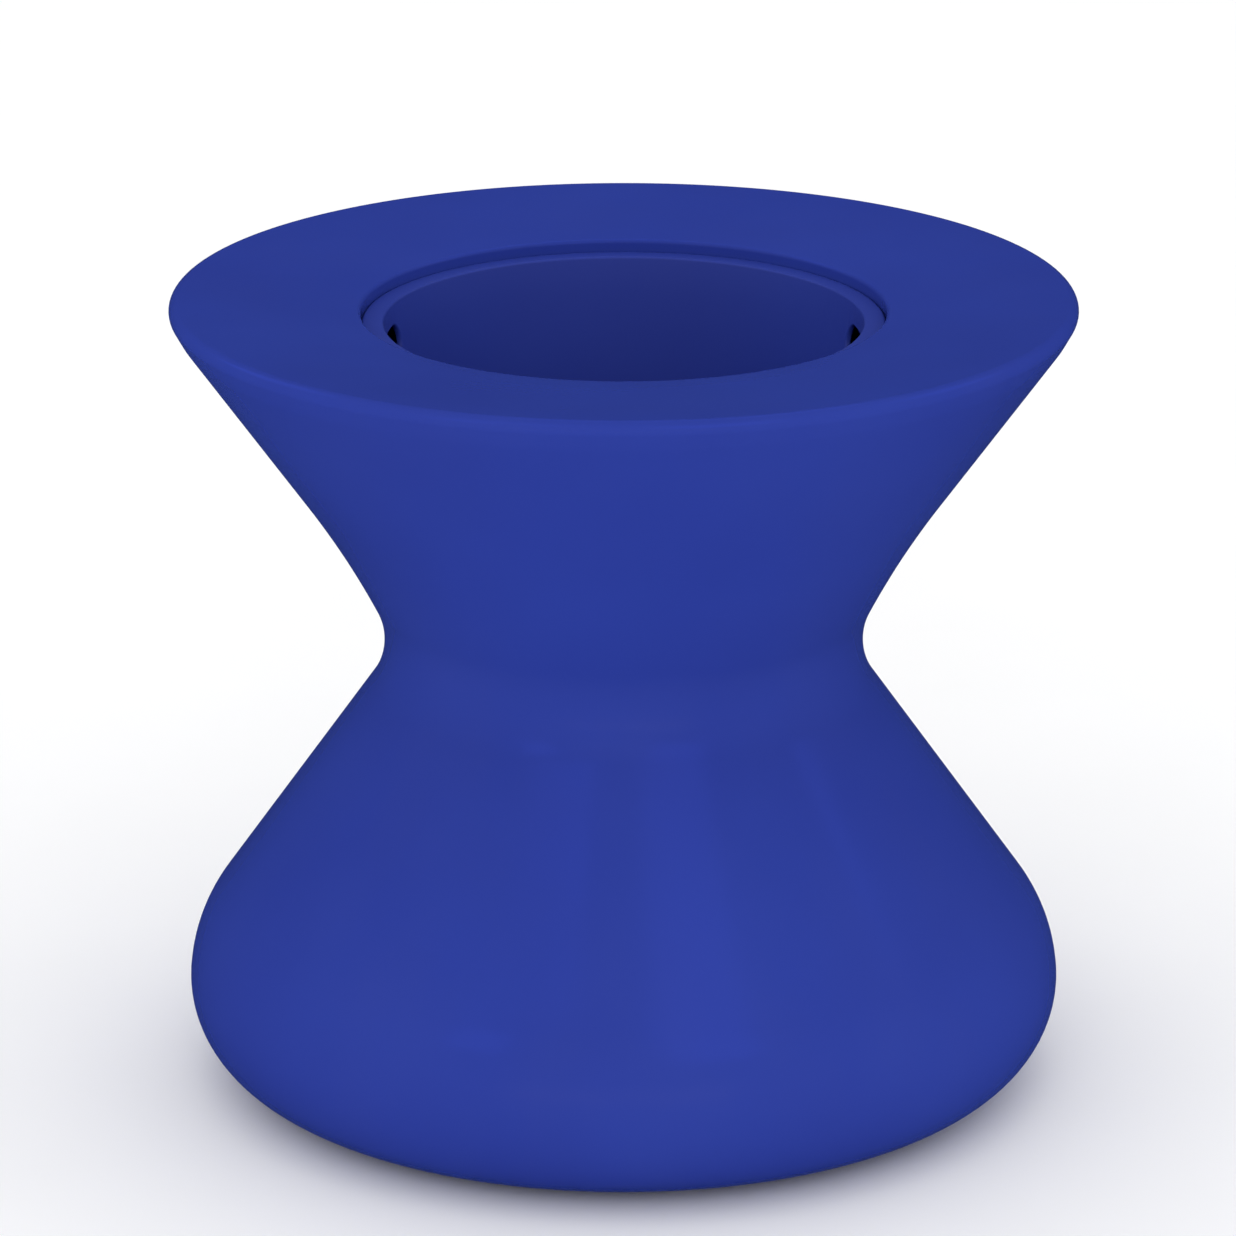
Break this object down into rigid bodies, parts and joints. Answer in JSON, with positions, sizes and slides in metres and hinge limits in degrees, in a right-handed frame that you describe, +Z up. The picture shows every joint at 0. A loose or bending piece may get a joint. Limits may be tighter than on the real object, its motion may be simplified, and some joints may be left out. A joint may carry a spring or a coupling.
{
  "type": "ice bin side table",
  "caption": "Moulded hourglass side table with a dished top ring round a lift-out insulated ice bin, a drain stopper over a standpipe, and a screw-in ballast drain plug in the base.",
  "frame": {"origin": "on the floor, at the centre of the footprint, on the axis of the table", "axes": "+Z up along the axis of the table; +X from the axis towards the ballast plug"},
  "size_m": [0.61, 0.61, 0.5511],
  "materials": {
    "body_blue": "gloss",
    "bin_blue": "satin",
    "foam": "matte",
    "fitting_white": "satin",
    "fitting_black": "satin",
    "rubber": "matte",
    "steel": "satin"
  },
  "bodies": {
    "table": {"table_shell": "body_blue", "foot_pads": "rubber", "pad_screws": "steel", "bin_seat_ring": "rubber", "standpipe": "fitting_white", "outlet_fitting": "fitting_black", "outlet_gasket": "rubber", "outlet_nut": "fitting_black", "ballast_bung": "fitting_black", "bung_gasket": "rubber", "bung_nut": "fitting_black"},
    "bin": {"ice_bin": "bin_blue", "bin_insulation": "foam", "drain_body": "fitting_white", "drain_gasket": "rubber", "drain_nut": "fitting_black", "drain_strainer": "steel", "spigot_ring": "rubber"},
    "stopper": {"drain_stopper": "fitting_white", "stopper_ring": "rubber"},
    "ballast_seal": {"plug_ring": "rubber"},
    "ballast_cap": {"ballast_plug": "fitting_black"}
  },
  "joints": [
    {"name": "bin_lift", "type": "slide", "parent": "table", "child": "bin", "axis": [0, 0, 1], "range_m": [0, 0.34]},
    {"name": "stopper_lift", "type": "slide", "parent": "bin", "child": "stopper", "axis": [0, 0, 1], "range_m": [0, 0.28]},
    {"name": "ballast_travel", "type": "slide", "parent": "table", "child": "ballast_seal", "axis": [0, 0, -1], "range_m": [0, 0.0091]},
    {"name": "ballast_turn", "type": "hinge", "parent": "ballast_seal", "child": "ballast_cap", "pos_m": [0.112, 0, 0], "axis": [0, 0, -1], "range_deg": [0, 1080]}
  ],
  "couplings": [
    {"joint": "ballast_travel", "follows": "ballast_turn", "m_per_rad": 0.00047746}
  ]
}
